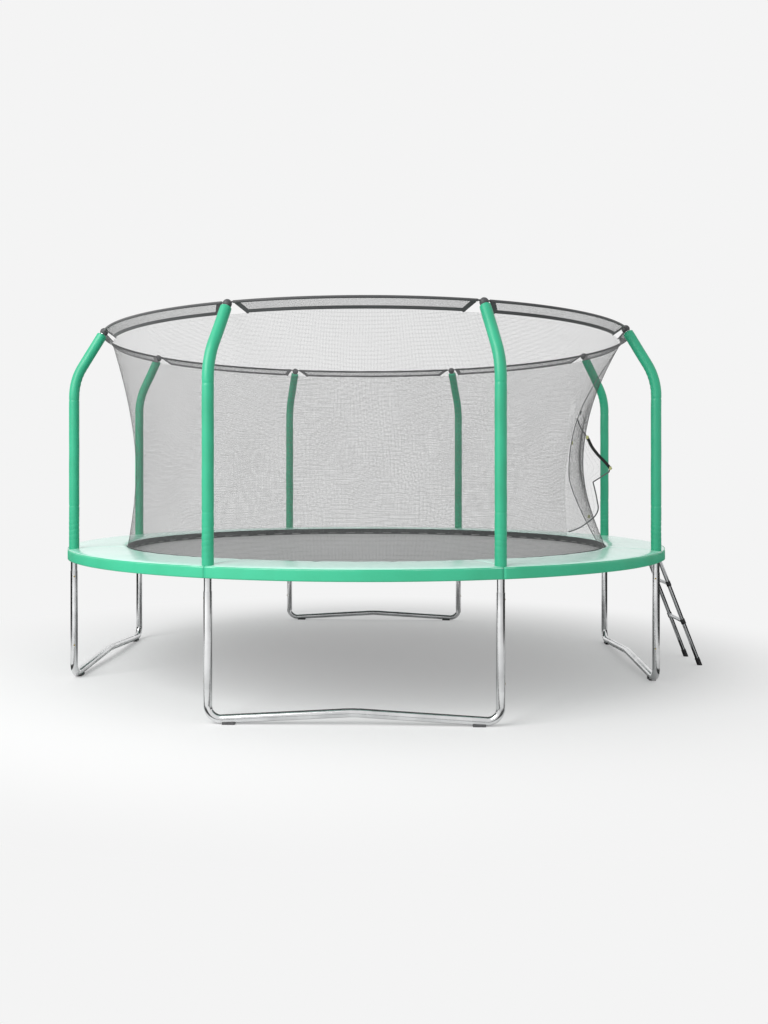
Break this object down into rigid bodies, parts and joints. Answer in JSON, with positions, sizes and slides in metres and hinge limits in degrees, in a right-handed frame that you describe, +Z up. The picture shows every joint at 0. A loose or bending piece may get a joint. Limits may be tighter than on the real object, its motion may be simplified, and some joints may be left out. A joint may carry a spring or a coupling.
{
  "type": "backyard trampoline",
  "caption": "Round backyard trampoline with a sprung mat, padded spring cover, U legs, bent padded poles, a zipped net enclosure and a hook-on ladder.",
  "frame": {"origin": "centre of the mat's top face", "axes": "+Z up out of the mat, +X towards the ladder and the door"},
  "size_m": [4.5986, 4.298, 2.385],
  "materials": {
    "galvanised_steel": "bright galvanised tube",
    "spring_steel": "zinc-plated spring wire",
    "ladder_steel": "galvanised ladder tube",
    "zinc_screws": "yellow zinc-plated screws",
    "black_plastic": "dark moulded plastic",
    "sleeve_cloth": "green coated cloth over foam",
    "cover_cloth": "green coated cloth over foam",
    "net_mesh": "grey woven mesh",
    "webbing": "dark woven webbing",
    "fibreglass": "dark fibreglass rod",
    "mat_cloth": "dark woven jumping cloth",
    "lime_plastic": "lime moulded clips"
  },
  "bodies": {
    "frame": {"rail_arc_1": "galvanised_steel", "rail_arc_2": "galvanised_steel", "rail_arc_3": "galvanised_steel", "rail_arc_4": "galvanised_steel", "rail_arc_5": "galvanised_steel", "rail_arc_6": "galvanised_steel", "rail_arc_7": "galvanised_steel", "rail_arc_8": "galvanised_steel", "rail_sockets": "galvanised_steel", "leg_tube_1": "galvanised_steel", "leg_tube_2": "galvanised_steel", "leg_tube_3": "galvanised_steel", "leg_tube_4": "galvanised_steel", "leg_tube_5": "galvanised_steel", "leg_tube_6": "galvanised_steel", "leg_tube_7": "galvanised_steel", "leg_tube_8": "galvanised_steel", "leg_base_right": "galvanised_steel", "leg_base_back": "galvanised_steel", "leg_base_left": "galvanised_steel", "leg_base_front": "galvanised_steel", "poles": "galvanised_steel", "springs": "spring_steel", "leg_screws": "zinc_screws", "foot_pads": "black_plastic", "pole_caps": "black_plastic", "pole_sleeve_1": "sleeve_cloth", "pole_sleeve_2": "sleeve_cloth", "pole_sleeve_3": "sleeve_cloth", "pole_sleeve_4": "sleeve_cloth", "pole_sleeve_5": "sleeve_cloth", "pole_sleeve_6": "sleeve_cloth", "pole_sleeve_7": "sleeve_cloth", "pole_sleeve_8": "sleeve_cloth", "safety_pad": "cover_cloth", "net_panel_1": "net_mesh", "net_panel_2": "net_mesh", "net_panel_3": "net_mesh", "net_panel_4": "net_mesh", "net_panel_5": "net_mesh", "net_panel_6": "net_mesh", "net_panel_7": "net_mesh", "door_panel": "net_mesh", "door_side_panel": "net_mesh", "top_bands": "webbing", "zip_tape": "webbing", "top_ring": "fibreglass", "edge_clip": "lime_plastic"},
    "mat": {"mat": "mat_cloth", "v_rings": "spring_steel", "net_hem": "webbing"},
    "ladder": {"ladder_rail_left": "ladder_steel", "ladder_rail_right": "ladder_steel", "ladder_steps": "ladder_steel", "ladder_clips": "black_plastic", "ladder_feet": "black_plastic"},
    "door": {"door_flap": "net_mesh", "flap_strap": "webbing", "flap_clips": "lime_plastic"},
    "slider": {"zip_slider": "black_plastic"}
  },
  "joints": [
    {"name": "mat_bounce", "type": "slide", "parent": "frame", "child": "mat", "axis": [0, 0, 1], "range_m": [-0.2, 0], "stiffness_N_per_m": 5000, "springref_m": 0.03, "deforming": ["springs"]},
    {"name": "ladder_swing", "type": "hinge", "parent": "frame", "child": "ladder", "pos_m": [2.10322, 0, -0.001], "axis": [0, -1, 0], "range_deg": [0, 18]},
    {"name": "door_swing", "type": "hinge", "parent": "frame", "child": "door", "pos_m": [1.61949, 0.6506, 0.07], "axis": [0.0491, -0.1526, 0.9871], "range_deg": [-70, 75]},
    {"name": "zip_slide", "type": "slide", "parent": "frame", "child": "slider", "axis": [0.3116, -0.5485, 0.7759], "range_m": [0, 0.12]}
  ]
}
